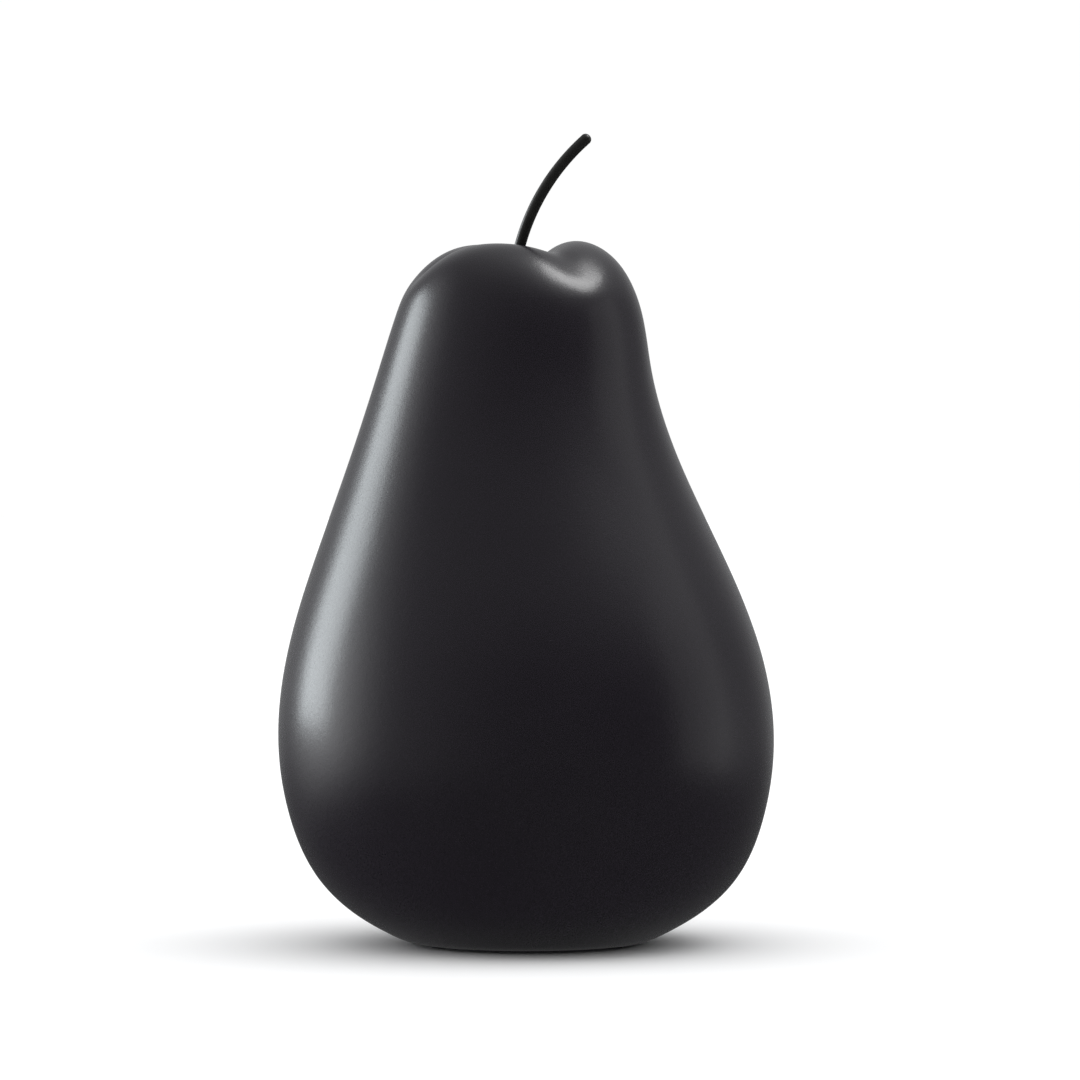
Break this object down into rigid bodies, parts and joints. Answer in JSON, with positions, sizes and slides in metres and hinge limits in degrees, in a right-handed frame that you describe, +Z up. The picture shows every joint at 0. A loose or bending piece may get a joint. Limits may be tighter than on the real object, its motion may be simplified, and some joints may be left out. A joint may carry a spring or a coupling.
{
  "type": "decorative pear sculpture",
  "caption": "Upright pear-shaped ornament: hollow lacquered body with a lobed crown and dimple, a thin bent rod stem and felt pads under a flat foot.",
  "frame": {"origin": "on the surface that the pads stand on, under the middle of the whole piece", "axes": "+Z up, front towards -Y, +X to the side that the stem bends towards"},
  "size_m": [0.2212, 0.2212, 0.361],
  "materials": {
    "lacquered_body": "satin black spray lacquer over cast ceramic, with a very fine speckle",
    "stem_rod": "satin black painted round steel rod",
    "felt": "thin black pressed felt"
  },
  "bodies": {
    "root": {"pear_body": "lacquered_body", "stem": "stem_rod", "foot_pad_1": "felt", "foot_pad_2": "felt", "foot_pad_3": "felt"}
  },
  "joints": []
}
